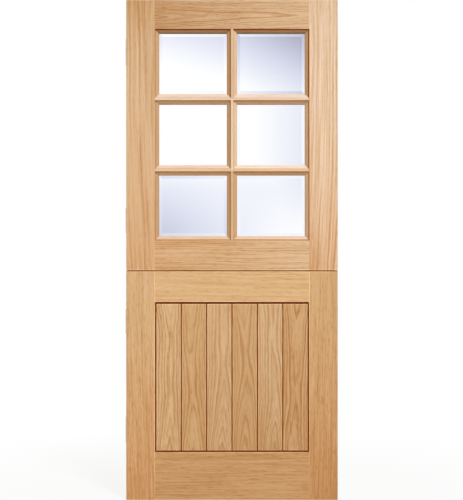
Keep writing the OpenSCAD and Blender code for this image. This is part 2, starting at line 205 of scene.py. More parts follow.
def haze_amount(tree, direction):
    parts = split(tree, direction)
    across = parts["X"]
    up = parts["Z"]
    rising = reckon(tree, "MULTIPLY_ADD", up, *haze_climb)
    right_half = reckon(tree, "MAXIMUM", across, 0.0)
    to_the_right = reckon(tree, "MULTIPLY_ADD", right_half, right_half_climb, rising)
    upper_right = reckon(tree, "MULTIPLY_ADD", across, across_climb, to_the_right)
    on_the_right = reckon(tree, "MULTIPLY_ADD", across, *right_side_climb, clamp=True)
    right_side = reckon(tree, "MULTIPLY", on_the_right, right_side_most)
    at_lower_left = soft_patch(tree, across, up, *lower_left_patch)
    lower_left = reckon(tree, "MULTIPLY", at_lower_left, lower_left_most)
    lower = reckon(tree, "MULTIPLY_ADD", ease(tree, up, *lower_band), lower_band_most, lower_left)
    haze = reckon(tree, "MAXIMUM", reckon(tree, "MAXIMUM", upper_right, right_side), lower)
    clearing = soft_patch(tree, across, up, *clear_patch)
    clear = reckon(tree, "MULTIPLY_ADD", clearing, -clear_strength, 1.0, clamp=True)
    held = reckon(tree, "MINIMUM", reckon(tree, "MULTIPLY", haze, clear), haze_most)
    return reckon(tree, "MULTIPLY", held, ease(tree, parts["Y"], *straight_ahead))


print("haze: upper right, right side, lower left, at most", haze_most)

# %% Colour of the haze
haze_dyes = {"Red": (1.18, 1.0), "Green": (1.25, 1.12), "Blue": (1.50, 1.76)}


def haze_colour(tree, haze):
    mixed = add_node(tree, "ShaderNodeCombineColor")
    for channel, (strength, bend) in haze_dyes.items():
        taken = reckon(tree, "MULTIPLY", reckon(tree, "POWER", haze, bend), strength)
        feed(tree, reckon(tree, "SUBTRACT", 1.0, taken, clamp=True), mixed.inputs[channel])
    return mixed.outputs["Color"]


print("haze channels:", list(haze_dyes))

# %% Surroundings
warm_ambient = (1.0, 0.82, 0.60, 1.0)
ambient_strength = 0.26


def in_sight(tree, rays):
    direct = reckon(tree, "MAXIMUM", rays["Is Camera Ray"], rays["Is Glossy Ray"])
    looking = reckon(tree, "MAXIMUM", direct, rays["Is Transmission Ray"])
    not_lighting = reckon(tree, "LESS_THAN", rays["Diffuse Depth"], 0.5)
    return reckon(tree, "MULTIPLY", looking, not_lighting)


def choose_shader(tree, share, first, second):
    choice = add_node(tree, "ShaderNodeMixShader")
    feed(tree, share, choice.inputs[0])
    feed(tree, first.outputs[0], choice.inputs[1])
    feed(tree, second.outputs[0], choice.inputs[2])
    return choice.outputs[0]


def white_surroundings():
    world = bpy.data.worlds.new("white_surroundings")
    world.use_nodes = True
    tree = world.node_tree
    tree.nodes.clear()
    direction = add_node(tree, "ShaderNodeTexCoord").outputs["Generated"]
    rays = add_node(tree, "ShaderNodeLightPath").outputs
    through_glass = reckon(tree, "MULTIPLY", haze_amount(tree, direction), rays["Is Transmission Ray"])
    seen = add_node(tree, "ShaderNodeBackground")
    feed(tree, haze_colour(tree, through_glass), seen.inputs["Color"])
    lighting = add_node(tree, "ShaderNodeBackground")
    lighting.inputs["Color"].default_value = warm_ambient
    lighting.inputs["Strength"].default_value = ambient_strength
    output = add_node(tree, "ShaderNodeOutputWorld")
    feed(tree, choose_shader(tree, in_sight(tree, rays), lighting, seen), output.inputs["Surface"])
    return world


bpy.context.scene.world = white_surroundings()
print("surroundings:", bpy.context.scene.world.name)

# %% [markdown]
# ## Lamps
# The key light comes from the upper right, which is why the beads that face down are the darkest and
# those that face up shine. One broad soft lamp does that. The back of the door would be flat without
# a lamp of its own, so a weaker one stands behind it to the left. It doesn't show through the panes.
# Together with the surroundings they give a front face about its own colour.

# %% Lamps
def soft_lamp(name, place, target, size, watts, colour):
    lamp = bpy.data.lights.new(name, "AREA")
    lamp.shape = "RECTANGLE"
    lamp.size = size[0]
    lamp.size_y = size[1]
    lamp.energy = watts
    lamp.color = colour
    holder = bpy.data.objects.new(name, lamp)
    holder.location = place
    aim = [target[axis] - place[axis] for axis in range(3)]
    tilt = math.atan2(math.hypot(aim[0], aim[1]), -aim[2])
    turn = math.atan2(aim[1], aim[0]) - math.pi / 2
    holder.rotation_euler = (tilt, 0, turn)
    bpy.context.scene.collection.objects.link(holder)
    return holder


key_lamp = soft_lamp("key_lamp", place=(3.15, -7.9, 11.0), target=(0, 0, 1.2), size=(2.0, 1.6),
                     watts=1650, colour=(0.92, 0.96, 1.0))
back_lamp = soft_lamp("back_lamp", place=(-2.4, 4.6, 4.2), target=(0, 0, 1.0), size=(2.0, 2.0),
                      watts=260, colour=(1.0, 0.98, 0.95))
back_lamp.visible_transmission = False
print("lamps:", [lamp.name for lamp in (key_lamp, back_lamp)])

# %% [markdown]
# ## Floor
# The floor is pale and plain. To the camera most of it is light of its own at full white, so that it
# meets the background without a line, and the rest is an ordinary matt surface that keeps the shadow.
# Further off, where no shadow falls, all of it is white.

# %% Floor
floor_half = 9.0
floor_grey = (0.6, 0.6, 0.6, 1)
near_glow = 0.86
shadow_reach = (0.4, 2.2)


def floor_finish():
    finish = bpy.data.materials.new("pale_floor")
    finish.use_nodes = True
    tree = finish.node_tree
    tree.nodes.clear()
    matt = add_node(tree, "ShaderNodeBsdfDiffuse")
    matt.inputs["Color"].default_value = floor_grey
    glow = add_node(tree, "ShaderNodeEmission")
    rays = add_node(tree, "ShaderNodeLightPath").outputs
    from_door = how_far(tree, add_node(tree, "ShaderNodeTexCoord").outputs["Object"])
    far = ease(tree, from_door, *shadow_reach)
    glow_share = reckon(tree, "MULTIPLY_ADD", far, 1 - near_glow, near_glow)
    share = reckon(tree, "MULTIPLY", in_sight(tree, rays), glow_share)
    output = add_node(tree, "ShaderNodeOutputMaterial")
    feed(tree, choose_shader(tree, share, matt, glow), output.inputs["Surface"])
    return finish


def pale_floor():
    mesh = bpy.data.meshes.new("pale_floor")
    signs = [(-1, -1), (1, -1), (1, 1), (-1, 1)]
    corners = [(across * floor_half, ahead * floor_half, 0) for across, ahead in signs]
    mesh.from_pydata(corners, [], [(0, 1, 2, 3)])
    mesh.materials.append(floor_finish())
    floor = bpy.data.objects.new("pale_floor", mesh)
    bpy.context.scene.collection.objects.link(floor)
    return floor


print("floor:", pale_floor().name)

# %% [markdown]
# ## Oak
# A board shows its growth rings, and how they look depends only on where it was cut from the log:
# near the middle they arch like cathedral windows, and at the side they run straight. A picture of
# grain would have to be made for each board. So the group below works in the log itself: its input
# is a place measured from the pith, it counts rings by the distance from the pith, and every face of
# a piece, end grain too, is then a true cut. A bowed log brings its rings to a waist, with arches
# that fall above it and climb below. Streaks, fibres, dashes and pores come on top. Last come the
# slow changes along a stick: drift makes one end darker, arch both ends, and cooling makes one bluer.

# %% Rings of the log
oak_waves = {
    "sway": (7.0, 7.0, 2.4),
    "ragged": (110.0, 110.0, 9.0),
    "fibre": (210.0, 210.0, 6.0),
    "tone": (15.0, 15.0, 1.4),
    "speck": (1500.0, 1500.0, 75.0),
    "dash": (340.0, 340.0, 32.0),
}
sway_detail = 2.5
ragged_detail = 3.0
ragged_share = 0.7
blunt_peak = 0.003
late_wood = (0.25, 0.85)
winter = (1.0, 0.86)
weakest_year = 0.1


def bend_of_log(tree, given, log, arc, place):
    sway = streaky(tree, place, oak_waves["sway"], sway_detail)["Color"]
    swayed = add_node(tree, "ShaderNodeVectorMath", operation="SCALE")
    feed(tree, vector_step(tree, "SUBTRACT", sway, (0.5, 0.5, 0.5)), swayed.inputs[0])
    feed(tree, given["Wander"], swayed.inputs["Scale"])
    bowed = join(tree, log["X"], reckon(tree, "MULTIPLY_ADD", arc, given["Bow"], log["Y"]))
    return vector_step(tree, "ADD", bowed, swayed.outputs[0])


def ring_radius(tree, given, bent):
    from_pith = how_far(tree, vector_step(tree, "MULTIPLY", bent, (1.0, 1.0, 0.0)))
    aside = split(tree, bent)["X"]
    lift = reckon(tree, "SQRT", reckon(tree, "MULTIPLY_ADD", aside, aside, blunt_peak ** 2))
    return reckon(tree, "MULTIPLY_ADD", lift, given["Peak"], from_pith)


def year_rings(tree, given, radius, place):
    ragged = streaky(tree, place, oak_waves["ragged"], ragged_detail)["Fac"]
    years = reckon(tree, "DIVIDE", radius, given["Ring Width"])
    count = reckon(tree, "MULTIPLY_ADD", ragged, ragged_share, years)
    season = reckon(tree, "FRACT", count)
    dense = reckon(tree, "MULTIPLY", ease(tree, season, *late_wood), ease(tree, season, *winter))
    each_year = add_node(tree, "ShaderNodeTexWhiteNoise", noise_dimensions="1D")
    feed(tree, reckon(tree, "FLOOR", count), each_year.inputs["W"])
    chance = each_year.outputs["Value"]
    strength = reckon(tree, "MULTIPLY_ADD", chance, 1 - weakest_year, weakest_year)
    return season, reckon(tree, "MULTIPLY", dense, strength)


print("waves per metre in the oak:", oak_waves)

# %% Tone of the wood
middle_amount = 0.44
tone_share = 0.55
pore_share = 0.3
speck_band = (0.58, 0.7)
spring_wood = (0.45, 0.1)
fewest_pores = 0.3
layers_per_metre = 130.0
layers_along = 2.2
blue_over_green = 2.0


def open_pores(tree, place, season):
    speck = ease(tree, streaky(tree, place, oak_waves["speck"], 1.0)["Fac"], *speck_band)
    spring = ease(tree, season, *spring_wood)
    open_season = reckon(tree, "MULTIPLY_ADD", spring, 1 - fewest_pores, fewest_pores)
    return reckon(tree, "MULTIPLY", speck, open_season)


def layer_streaks(tree, radius, length):
    outward = reckon(tree, "MULTIPLY", radius, layers_per_metre)
    along = reckon(tree, "MULTIPLY", length, layers_along)
    return cloudy(tree, join(tree, outward, along), scale=1.0, detail=5.0)["Fac"]


def dark_amount(tree, shares, pore):
    amount = middle_amount
    for value, middle, share in shares:
        amount = reckon(tree, "MULTIPLY_ADD", reckon(tree, "SUBTRACT", value, middle), share, amount)
    return reckon(tree, "MULTIPLY_ADD", pore, pore_share, amount, clamp=True)


def cooler_light(tree, cooling):
    light = add_node(tree, "ShaderNodeCombineColor")
    light.inputs["Red"].default_value = 1.0
    feed(tree, reckon(tree, "ADD", cooling, 1.0), light.inputs["Green"])
    feed(tree, reckon(tree, "MULTIPLY_ADD", cooling, blue_over_green, 1.0), light.inputs["Blue"])
    return light.outputs["Color"]


print("share of dark wood in the middle:", middle_amount)

# %% Oak grain group
grain_values = ("Seed", "Bow", "Peak", "Ring Width", "Wander", "Figure", "Streak", "Fibre", "Fleck",
                "Drift", "Arch", "Cooling")
dash_band = (0.50, 0.70)
fibre_roughness = (0.16, 0.40)
pore_roughness = 0.2
ring_height = 0.25
pore_depth = 0.8


def add_sockets(tree, way, kind, names):
    for name in names:
        tree.interface.new_socket(name, in_out=way, socket_type=kind)


def make_oak_grain():
    tree = bpy.data.node_groups.new("oak_grain", "ShaderNodeTree")
    add_sockets(tree, "INPUT", "NodeSocketVector", ["Place In Log"])
    add_sockets(tree, "INPUT", "NodeSocketFloat", grain_values)
    add_sockets(tree, "INPUT", "NodeSocketColor", ["Pale Wood", "Dark Wood"])
    add_sockets(tree, "OUTPUT", "NodeSocketColor", ["Colour"])
    add_sockets(tree, "OUTPUT", "NodeSocketFloat", ["Roughness", "Height"])
    given = add_node(tree, "NodeGroupInput").outputs
    log = split(tree, given["Place In Log"])
    arc = reckon(tree, "MULTIPLY", log["Z"], log["Z"])
    length = reckon(tree, "ADD", log["Z"], given["Seed"])
    place = join(tree, log["X"], log["Y"], length)
    radius = ring_radius(tree, given, bend_of_log(tree, given, log, arc, place))
    season, ring = year_rings(tree, given, radius, place)
    fibre = streaky(tree, place, oak_waves["fibre"], 3.0)["Fac"]
    tone = streaky(tree, place, oak_waves["tone"], 2.0)["Fac"]
    dash = ease(tree, streaky(tree, place, oak_waves["dash"], 1.5)["Fac"], *dash_band)
    pore = open_pores(tree, place, season)
    shares = [
        (ring, 0.25, given["Figure"]),
        (layer_streaks(tree, radius, length), 0.5, given["Streak"]),
        (fibre, 0.5, given["Fibre"]),
        (tone, 0.5, tone_share),
        (log["Z"], 0.0, given["Drift"]),
        (arc, 0.0, given["Arch"]),
        (dash, 0.2, given["Fleck"]),
    ]
    amount = dark_amount(tree, shares, pore)
    plain = blend_colours(tree, amount, given["Pale Wood"], given["Dark Wood"])
    cooling = reckon(tree, "MULTIPLY", log["Z"], given["Cooling"])
    rough_fibre = reckon(tree, "MULTIPLY_ADD", fibre, *fibre_roughness)
    raised_ring = reckon(tree, "MULTIPLY_ADD", ring, ring_height, fibre)
    output = add_node(tree, "NodeGroupOutput").inputs
    feed(tree, tint(tree, plain, cooler_light(tree, cooling)), output["Colour"])
    feed(tree, reckon(tree, "MULTIPLY_ADD", pore, pore_roughness, rough_fibre), output["Roughness"])
    feed(tree, reckon(tree, "MULTIPLY_ADD", pore, -pore_depth, raised_ring), output["Height"])
    return tree


oak_grain = make_oak_grain()
print("oak grain group:", len(oak_grain.nodes), "nodes")

# %% [markdown]
# ## Painted edge highlights, painted groove shade and joint lines
# A paler band along the arrises is a painted highlight. Deep in the grooves the wood carries painted
# shade in brown, a thin dark joint line with painted shade runs round the opening for the glass, and
# the edges that meet between the leaves carry painted shade and are dull. All this depends only on the
# place in the piece: how far a point is from the nearest edge, how deep it lies, whether it is in an
# opening and how near it is to the meeting line. The group gives each as a mask.

# %% Edge group
upper_leaf_foot = 0.910
lower_leaf_top = 0.907
meeting_middle = lower_leaf_top + 0.0009
meeting_half = 0.0024
groove_depth = (0.0004, 0.0024)


def least_gap(tree, place, low, high):
    gaps = []
    for axis in ("X", "Z"):
        gaps.append(reckon(tree, "SUBTRACT", place[axis], low[axis]))
        gaps.append(reckon(tree, "SUBTRACT", high[axis], place[axis]))
    across = reckon(tree, "MINIMUM", gaps[0], gaps[1])
    upright = reckon(tree, "MINIMUM", gaps[2], gaps[3])
    return reckon(tree, "MINIMUM", across, upright)


def make_edge_masks():
    tree = bpy.data.node_groups.new("edge_masks", "ShaderNodeTree")
    places = ("Place", "Low Corner", "High Corner", "Opening Low", "Opening High")
    # Masks for the painted edge highlight, the painted shade in the grooves, the joint line round the
    # opening and the meeting edge.
    masks = ("Edge Highlight", "Groove Shade", "Opening Line Shade", "Meeting Edge")
    add_sockets(tree, "INPUT", "NodeSocketVector", places)
    add_sockets(tree, "INPUT", "NodeSocketFloat", ["Reach"])
    add_sockets(tree, "OUTPUT", "NodeSocketFloat", masks)
    given = add_node(tree, "NodeGroupInput").outputs
    place, low, high, opening_low, opening_high = [split(tree, given[name]) for name in places]
    nearest = reckon(tree, "ABSOLUTE", least_gap(tree, place, low, high))
    inside = reckon(tree, "GREATER_THAN", least_gap(tree, place, opening_low, opening_high), 0.0)
    from_front = reckon(tree, "SUBTRACT", place["Y"], low["Y"])
    from_back = reckon(tree, "SUBTRACT", high["Y"], place["Y"])
    deep = ease(tree, reckon(tree, "MINIMUM", from_front, from_back), *groove_depth)
    groove = reckon(tree, "MULTIPLY", inside, deep)
    at_meeting = reckon(tree, "COMPARE", place["Z"], meeting_middle, meeting_half)
    output = add_node(tree, "NodeGroupOutput").inputs
    feed(tree, ease(tree, nearest, given["Reach"], 0.0), output["Edge Highlight"])
    feed(tree, groove, output["Groove Shade"])
    feed(tree, reckon(tree, "SUBTRACT", inside, groove), output["Opening Line Shade"])
    feed(tree, at_meeting, output["Meeting Edge"])
    return tree


edge_masks = make_edge_masks()
print("edge group:", len(edge_masks.nodes), "nodes")

# %% [markdown]
# ## One oak finish for each piece of timber
# A joiner picks each stick by its grain: straight for stiles, arched for boards. The function takes
# where the pith was, seen from the middle of the piece, how the log leaned and bowed, and the mean
# colour. An upright piece has its grain along Z. A rail has it along X, so its axes are swapped first.
# What a piece doesn't say about its grain comes from the usual values. The edges come in a step of
# their own, because the bars and beads go without it.

# %% Finish helpers
def start_finish(name):
    finish = bpy.data.materials.new(name)
    finish.use_nodes = True
    tree = finish.node_tree
    place = add_node(tree, "ShaderNodeTexCoord").outputs["Object"]
    return finish, tree, tree.nodes["Principled BSDF"].inputs, place


def set_roughness(tree, surface, value, swing, least):
    feed(tree, reckon(tree, "MULTIPLY_ADD", value, swing, least), surface["Roughness"])


def add_bump(tree, surface, height, strength, distance):
    bump = add_node(tree, "ShaderNodeBump")
    bump.inputs["Strength"].default_value = strength
    bump.inputs["Distance"].default_value = distance
    feed(tree, height, bump.inputs["Height"])
    feed(tree, bump.outputs[0], surface["Normal"])


def reopen_finish(finish):
    tree = finish.node_tree
    surface = tree.nodes["Principled BSDF"].inputs
    colour = surface["Base Color"].links[0].from_socket
    return tree, surface, colour, tree.nodes["Texture Coordinate"].outputs["Object"]


def middle_of(name):
    low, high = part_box(name)
    return tuple((low[axis] + high[axis]) / 2 for axis in range(3))


def dress(name, finish):
    mesh = pieces[name].data
    mesh.materials.clear()
    mesh.materials.append(finish)


print("middle of the top rail:", [round(v, 3) for v in middle_of("top_rail")])

# %% Oak finish
usual_grain = dict(seed=0.0, bow=0.0, peak=0.0, ring_width=0.01, wander=0.03, figure=0.5, streak=1.7,
                   fibre=0.7, fleck=0.28, drift=0.0, arch=0.0, cooling=0.0)
paler_by = (0.09, 0.16, 0.28)
darker_by = (0.12, 0.21, 0.33)


def shade(colour, steps, spread):
    return tuple(level * (1 + spread * step) for level, step in zip(colour, steps)) + (1.0,)


def place_along(tree, place, along):
    if along == "Z":
        return place
    parts = split(tree, place)
    return join(tree, parts["Z"], parts["Y"], parts["X"])


def oak_finish(name, colour, centre, along, pith, lean, spread=1.0, **own_grain):
    finish, tree, surface, place = start_finish(name)
    from_middle = vector_step(tree, "SUBTRACT", place, centre)
    in_log = add_node(tree, "ShaderNodeMapping")
    feed(tree, place_along(tree, from_middle, along), in_log.inputs["Vector"])
    in_log.inputs["Location"].default_value = (-pith[0], -pith[1], -pith[2])
    in_log.inputs["Rotation"].default_value = (lean[0], lean[1], 0)
    grain = add_node(tree, "ShaderNodeGroup", node_tree=oak_grain)
    feed(tree, in_log.outputs[0], grain.inputs["Place In Log"])
    for word, value in {**usual_grain, **own_grain}.items():
        grain.inputs[word.replace("_", " ").title()].default_value = value
    grain.inputs["Pale Wood"].default_value = shade(colour, paler_by, spread)
    grain.inputs["Dark Wood"].default_value = shade(colour, darker_by, -spread)
    feed(tree, grain.outputs["Colour"], surface["Base Color"])
    feed(tree, grain.outputs["Roughness"], surface["Roughness"])
    add_bump(tree, surface, grain.outputs["Height"], strength=0.25, distance=0.0004)
    surface["IOR"].default_value = 1.48
    surface["Specular IOR Level"].default_value = 0.35
    return finish


print("usual grain:", usual_grain)

# %% Edges of a piece
opening_side = 0.3062
lock_side = 0.3080
glass_foot = 1.0288
glass_head = 1.8672
panel_foot = 0.1888
panel_head = 0.7862
glazed_opening = ((-opening_side, 0.0, glass_foot), (opening_side, 0.0, glass_head))
lock_side_opening = ((-opening_side, 0.0, glass_foot), (lock_side, 0.0, glass_head))
panel_opening = ((-opening_side, 0.0, panel_foot), (opening_side, 0.0, panel_head))
# Tints for the painted highlight on the edges, painted shade in the grooves and joint lines with painted
# shade.
edge_highlight_tint = (1.40, 1.46, 1.55, 1.0)
groove_shade_tint = (0.80, 0.28, 0.07, 1.0)
joint_shade_tint = (0.72, 0.45, 0.24, 1.0)
edge_reach = 0.006


def paint_edge_light_and_shade(finish, low, high, opening, highlight_share, line_shade_share=0.0, line_shade_tint=groove_shade_tint):
    tree, surface, wood, place = reopen_finish(finish)
    grain_roughness = surface["Roughness"].links[0].from_socket
    masks = add_node(tree, "ShaderNodeGroup", node_tree=edge_masks)
    feed(tree, place, masks.inputs["Place"])
    masks.inputs["Low Corner"].default_value = low
    masks.inputs["High Corner"].default_value = high
    masks.inputs["Opening Low"].default_value = opening[0]
    masks.inputs["Opening High"].default_value = opening[1]
    masks.inputs["Reach"].default_value = edge_reach
    # A paler band along the edges: a painted highlight.
    edge_highlight = reckon(tree, "MULTIPLY", masks.outputs["Edge Highlight"], highlight_share)
    line_shade = reckon(tree, "MULTIPLY", masks.outputs["Opening Line Shade"], line_shade_share)
    meeting = masks.outputs["Meeting Edge"]
    highlighted = blend_colours(tree, edge_highlight, wood, tint(tree, wood, edge_highlight_tint))
    # Joint line round the opening, deepened with painted shade.
    line_shaded = blend_colours(tree, line_shade, highlighted, tint(tree, wood, line_shade_tint))
    # Painted shade deep in the grooves, in brown.
    groove_shaded = blend_colours(tree, masks.outputs["Groove Shade"], line_shaded, tint(tree, wood, groove_shade_tint))
    # Painted shade in the gap where the leaves meet; the same mask also makes those faces dull.
    meeting_shaded = blend_colours(tree, meeting, groove_shaded, tint(tree, wood, joint_shade_tint))
    feed(tree, meeting_shaded, surface["Base Color"])
    feed(tree, reckon(tree, "MAXIMUM", grain_roughness, meeting), surface["Roughness"])


print("openings:", glazed_opening, panel_opening)

# %% [markdown]
# ## Stiles and rails
# The stiles are cut to the side of the pith, so their lines run nearly straight. Those of the upper
# leaf come from bowed logs and lean towards the foot, those of the lower leaf are close and fine. The
# top rail is the showy one, with arches that swirl and close on themselves: its log wandered and lay
# near the pith. The rails at the meeting line are plain again, the upper a little redder and the
# lower more yellow.

# %% Cuts of the stiles and rails
leaning_cut = dict(along="Z", bow=-0.07, wander=0.016, figure=0.5, streak=2.3, fibre=0.45, fleck=0.2)
close_cut = dict(along="Z", ring_width=0.007, wander=0.020, figure=0.35, streak=1.6, fibre=1.6,
                 fleck=0.55, arch=0.55)
stick_cuts = {
    "upper_hinge_stile": {
        **leaning_cut, "colour": paint(208, 167, 123),
        "pith": (0.30, 0.11, 0.30), "lean": (0.004, 0.006), "seed": 0.3, "ring_width": 0.013,
        "spread": 1.8, "drift": 1.15, "arch": 1.15, "cooling": 0.15},
    "upper_lock_stile": {
        **leaning_cut, "colour": paint(223, 189, 154),
        "pith": (-0.30, 0.11, 0.30), "lean": (0.003, -0.006), "seed": 23.9, "ring_width": 0.012,
        "spread": 1.7, "drift": 0.52, "arch": 0.85, "cooling": 0.14},
    "lower_hinge_stile": {
        **close_cut, "colour": paint(213, 165, 113), "pith": (0.27, 0.10, 0.0), "lean": (0.003, 0.022),
        "seed": 3.1, "spread": 1.3, "drift": -0.38, "cooling": 0.13},
    "lower_lock_stile": {
        **close_cut, "colour": paint(207, 158, 105), "pith": (-0.29, 0.10, 0.0), "lean": (0.004, -0.020),
        "seed": 4.9, "spread": 1.35, "drift": -0.70, "cooling": 0.10},
    "top_rail": {
        "along": "X", "colour": paint(199, 157, 113),
        "pith": (-0.006, 0.035, 0.0), "lean": (0.030, 0.004), "seed": 0.2, "peak": 0.25,
        "ring_width": 0.0048, "wander": 0.026, "figure": 0.75, "streak": 1.5, "fleck": 0.40,
        "spread": 1.9, "drift": -1.05},
    "upper_foot_rail": {
        "along": "X", "colour": paint(213, 169, 122), "pith": (0.26, 0.10, 0.0), "lean": (0.004, 0.010),
        "seed": 2.2, "ring_width": 0.007, "wander": 0.018, "figure": 0.7, "streak": 2.1, "fleck": 0.4,
        "spread": 1.6, "drift": -0.35, "cooling": 0.15},
    "lower_head_rail": {
        "along": "X", "colour": paint(220, 177, 125), "pith": (-0.30, 0.12, 0.0), "lean": (0.003, 0.012),
        "seed": 5.4, "ring_width": 0.008, "wander": 0.015, "figure": 0.4, "streak": 1.4, "fibre": 1.0,
        "fleck": 0.5, "spread": 1.15},
    "bottom_rail": {
        "along": "X", "colour": paint(202, 152, 99), "pith": (0.20, 0.07, 0.0), "lean": (0.010, 0.004),
        "seed": 6.6, "ring_width": 0.005, "wander": 0.025, "figure": 0.5, "streak": 1.4, "fibre": 1.5,
        "fleck": 0.5, "spread": 1.4},
}
print("sticks:", list(stick_cuts))

# %% Stiles and rails
far_out = 9.0
open_edges = {
    "upper_hinge_stile": ((-far_out, 0.0), (far_out, far_out)),
    "upper_lock_stile": ((-far_out, 0.0), (far_out, far_out)),
    "lower_hinge_stile": ((-far_out, -far_out), (0.0, 0.0)),
    "lower_lock_stile": ((0.0, -far_out), (far_out, 0.0)),
    "top_rail": ((-far_out, -far_out), (far_out, far_out)),
    "upper_foot_rail": ((-far_out, 0.0), (far_out, far_out)),
    "lower_head_rail": ((-far_out, 0.0), (far_out, 0.0)),
    "bottom_rail": ((-far_out, -far_out), (far_out, 0.0)),
}
# How dark the joint line round the glazed opening is on each piece: a joint with painted shade, weakest
# on the hinge stile, which faces the light.
opening_shade_lines = {
    "top_rail": (glazed_opening, 0.9, groove_shade_tint),
    "upper_foot_rail": (glazed_opening, 0.8, groove_shade_tint),
    "upper_hinge_stile": (glazed_opening, 0.1, groove_shade_tint),
    "upper_lock_stile": (lock_side_opening, 1.0, joint_shade_tint),
}
no_line = (panel_opening, 0.0, groove_shade_tint)
stick_highlight_share = 0.9
for name, cut in stick_cuts.items():
    finish = oak_finish("oak_" + name, centre=middle_of(name), **cut)
    low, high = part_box(name)
    out_low, out_high = open_edges[name]
    upper = name in opening_shade_lines
    foot = max(low[2], upper_leaf_foot) if upper else low[2]
    top = high[2] if upper else min(high[2], lower_leaf_top)
    low_edge = (low[0] + out_low[0], low[1], foot + out_low[1])
    high_edge = (high[0] + out_high[0], high[1], top + out_high[1])
    opening, line_shade_share, line_shade_tint = opening_shade_lines.get(name, no_line)
    paint_edge_light_and_shade(finish, low_edge, high_edge, opening, stick_highlight_share, line_shade_share, line_shade_tint)
    dress(name, finish)
print("stiles and rails dressed:", len(stick_cuts))

# %% [markdown]
# ## Panel boards
# Six boards, no two alike: each is cut near the middle of its log, and each log bowed at another
# height, so the arches fall to a waist and climb from it. The tones alternate between paler and
# darker boards.

# %% Panel boards
board_log = dict(bow=0.20, peak=0.28, ring_width=0.0095, wander=0.042, figure=0.9, streak=1.4,
                 fibre=0.8, fleck=0.40)
board_cuts = [
    (paint(209, 167, 117), (0.006, 0.030, 0.03), (0.012, 0.010), 0.4, 1.75, -0.05),
    (paint(204, 157, 105), (-0.012, 0.032, 0.05), (-0.010, 0.014), 1.9, 1.45, -0.30),
    (paint(209, 167, 119), (0.010, 0.034, 0.10), (0.015, -0.010), 3.3, 1.30, -0.55),
    (paint(204, 158, 107), (-0.005, 0.030, 0.14), (-0.012, 0.006), 4.8, 1.20, -0.50),
    (paint(208, 166, 118), (0.008, 0.033, 0.10), (0.008, 0.012), 6.1, 1.40, -0.80),
    (paint(199, 150, 98), (-0.006, 0.030, -0.03), (-0.010, -0.010), 7.7, 1.75, -0.25),
]
first_edge = -0.3005
board_pitch = 0.1006667
board_face = 0.0976667
board_ends = (0.1945, 0.777)
board_highlight_share = 0.8
for number, (colour, pith, lean, seed, spread, drift) in enumerate(board_cuts, start=1):
    name = "board_%d" % number
    finish = oak_finish("oak_" + name, colour, middle_of(name), "Z", pith, lean, spread,
                        seed=seed, drift=drift, **board_log)
    low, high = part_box(name)
    left = first_edge + (number - 1) * board_pitch
    low_edge = (left, low[1], board_ends[0])
    high_edge = (left + board_face, high[1], board_ends[1])
    paint_edge_light_and_shade(finish, low_edge, high_edge, panel_opening, board_highlight_share)
    dress(name, finish)
print("boards dressed:", len(board_cuts))

# %% [markdown]
# ## Glazing bars
# The bars are narrow, so their grain only shows as fine straight lines. They are a little paler than
# the stiles, as slim stock usually is when it is picked clear of knots. The upright changes its tone
# from light to light: palest between the two cross bars, darkest below them.

# %% Glazing bars
bar_cuts = {
    "upright_bar": (paint(219, 182, 141), "Z"),
    "upper_cross_bar": (paint(230, 201, 174), "X"),
    "lower_cross_bar": (paint(231, 194, 155), "X"),
}
bar_log = dict(pith=(0.2, 0.1, 0.0), lean=(0.003, 0.004), spread=0.7, seed=0.7, ring_width=0.009,
               wander=0.015, figure=0.45)
top_tint = (1.0, 1.0, 1.0, 1.0)
middle_tint = (1.16, 1.30, 1.52, 1.0)
bottom_tint = (0.98, 0.91, 0.83, 1.0)


def tint_by_row(finish):
    tree, surface, wood, place = reopen_finish(finish)
    height = split(tree, place)["Z"]
    over_lower_bar = reckon(tree, "GREATER_THAN", height, middle_of("lower_cross_bar")[2])
    over_upper_bar = reckon(tree, "GREATER_THAN", height, middle_of("upper_cross_bar")[2])
    lower_rows = blend_colours(tree, over_lower_bar, bottom_tint, middle_tint)
    rows = blend_colours(tree, over_upper_bar, lower_rows, top_tint)
    feed(tree, tint(tree, wood, rows), surface["Base Color"])


for name, (colour, along) in bar_cuts.items():
    finish = oak_finish("oak_" + name, colour, middle_of(name), along, **bar_log)
    if name == "upright_bar":
        tint_by_row(finish)
    dress(name, finish)
print("bars dressed:", len(bar_cuts))

# %% [markdown]
# ## Glazing beads
# The four beads of a light are mitred at its corners, and the grain turns the corner with them. One
# node group serves all of them: it folds the door onto a single light, measures how far a point is
# from the light's side and from its head, and the nearer of the two says which way that bead runs.
# The tone of each bead is painted by the way it faces the key light: painted shade on the beads that
# face down and on the side turned away from the light, painted light on the side turned towards it,
# and a painted sheen over paler wood on the beads that face up. The joint beside each bead shows as a
# dark line, deepened with painted shadow on the shaded sides. In the top row the head beads also
# carry painted shade along the glass.

# %% Bead direction group
light_middle_x = 0.155
light_half = (0.150, 0.136)
light_foot = 1.030
light_pitch = 0.282
head_joint_shift = 0.0004
joint_width = (0.0055, 0.002)
sight_shade_band = (0.0095, 0.0125)


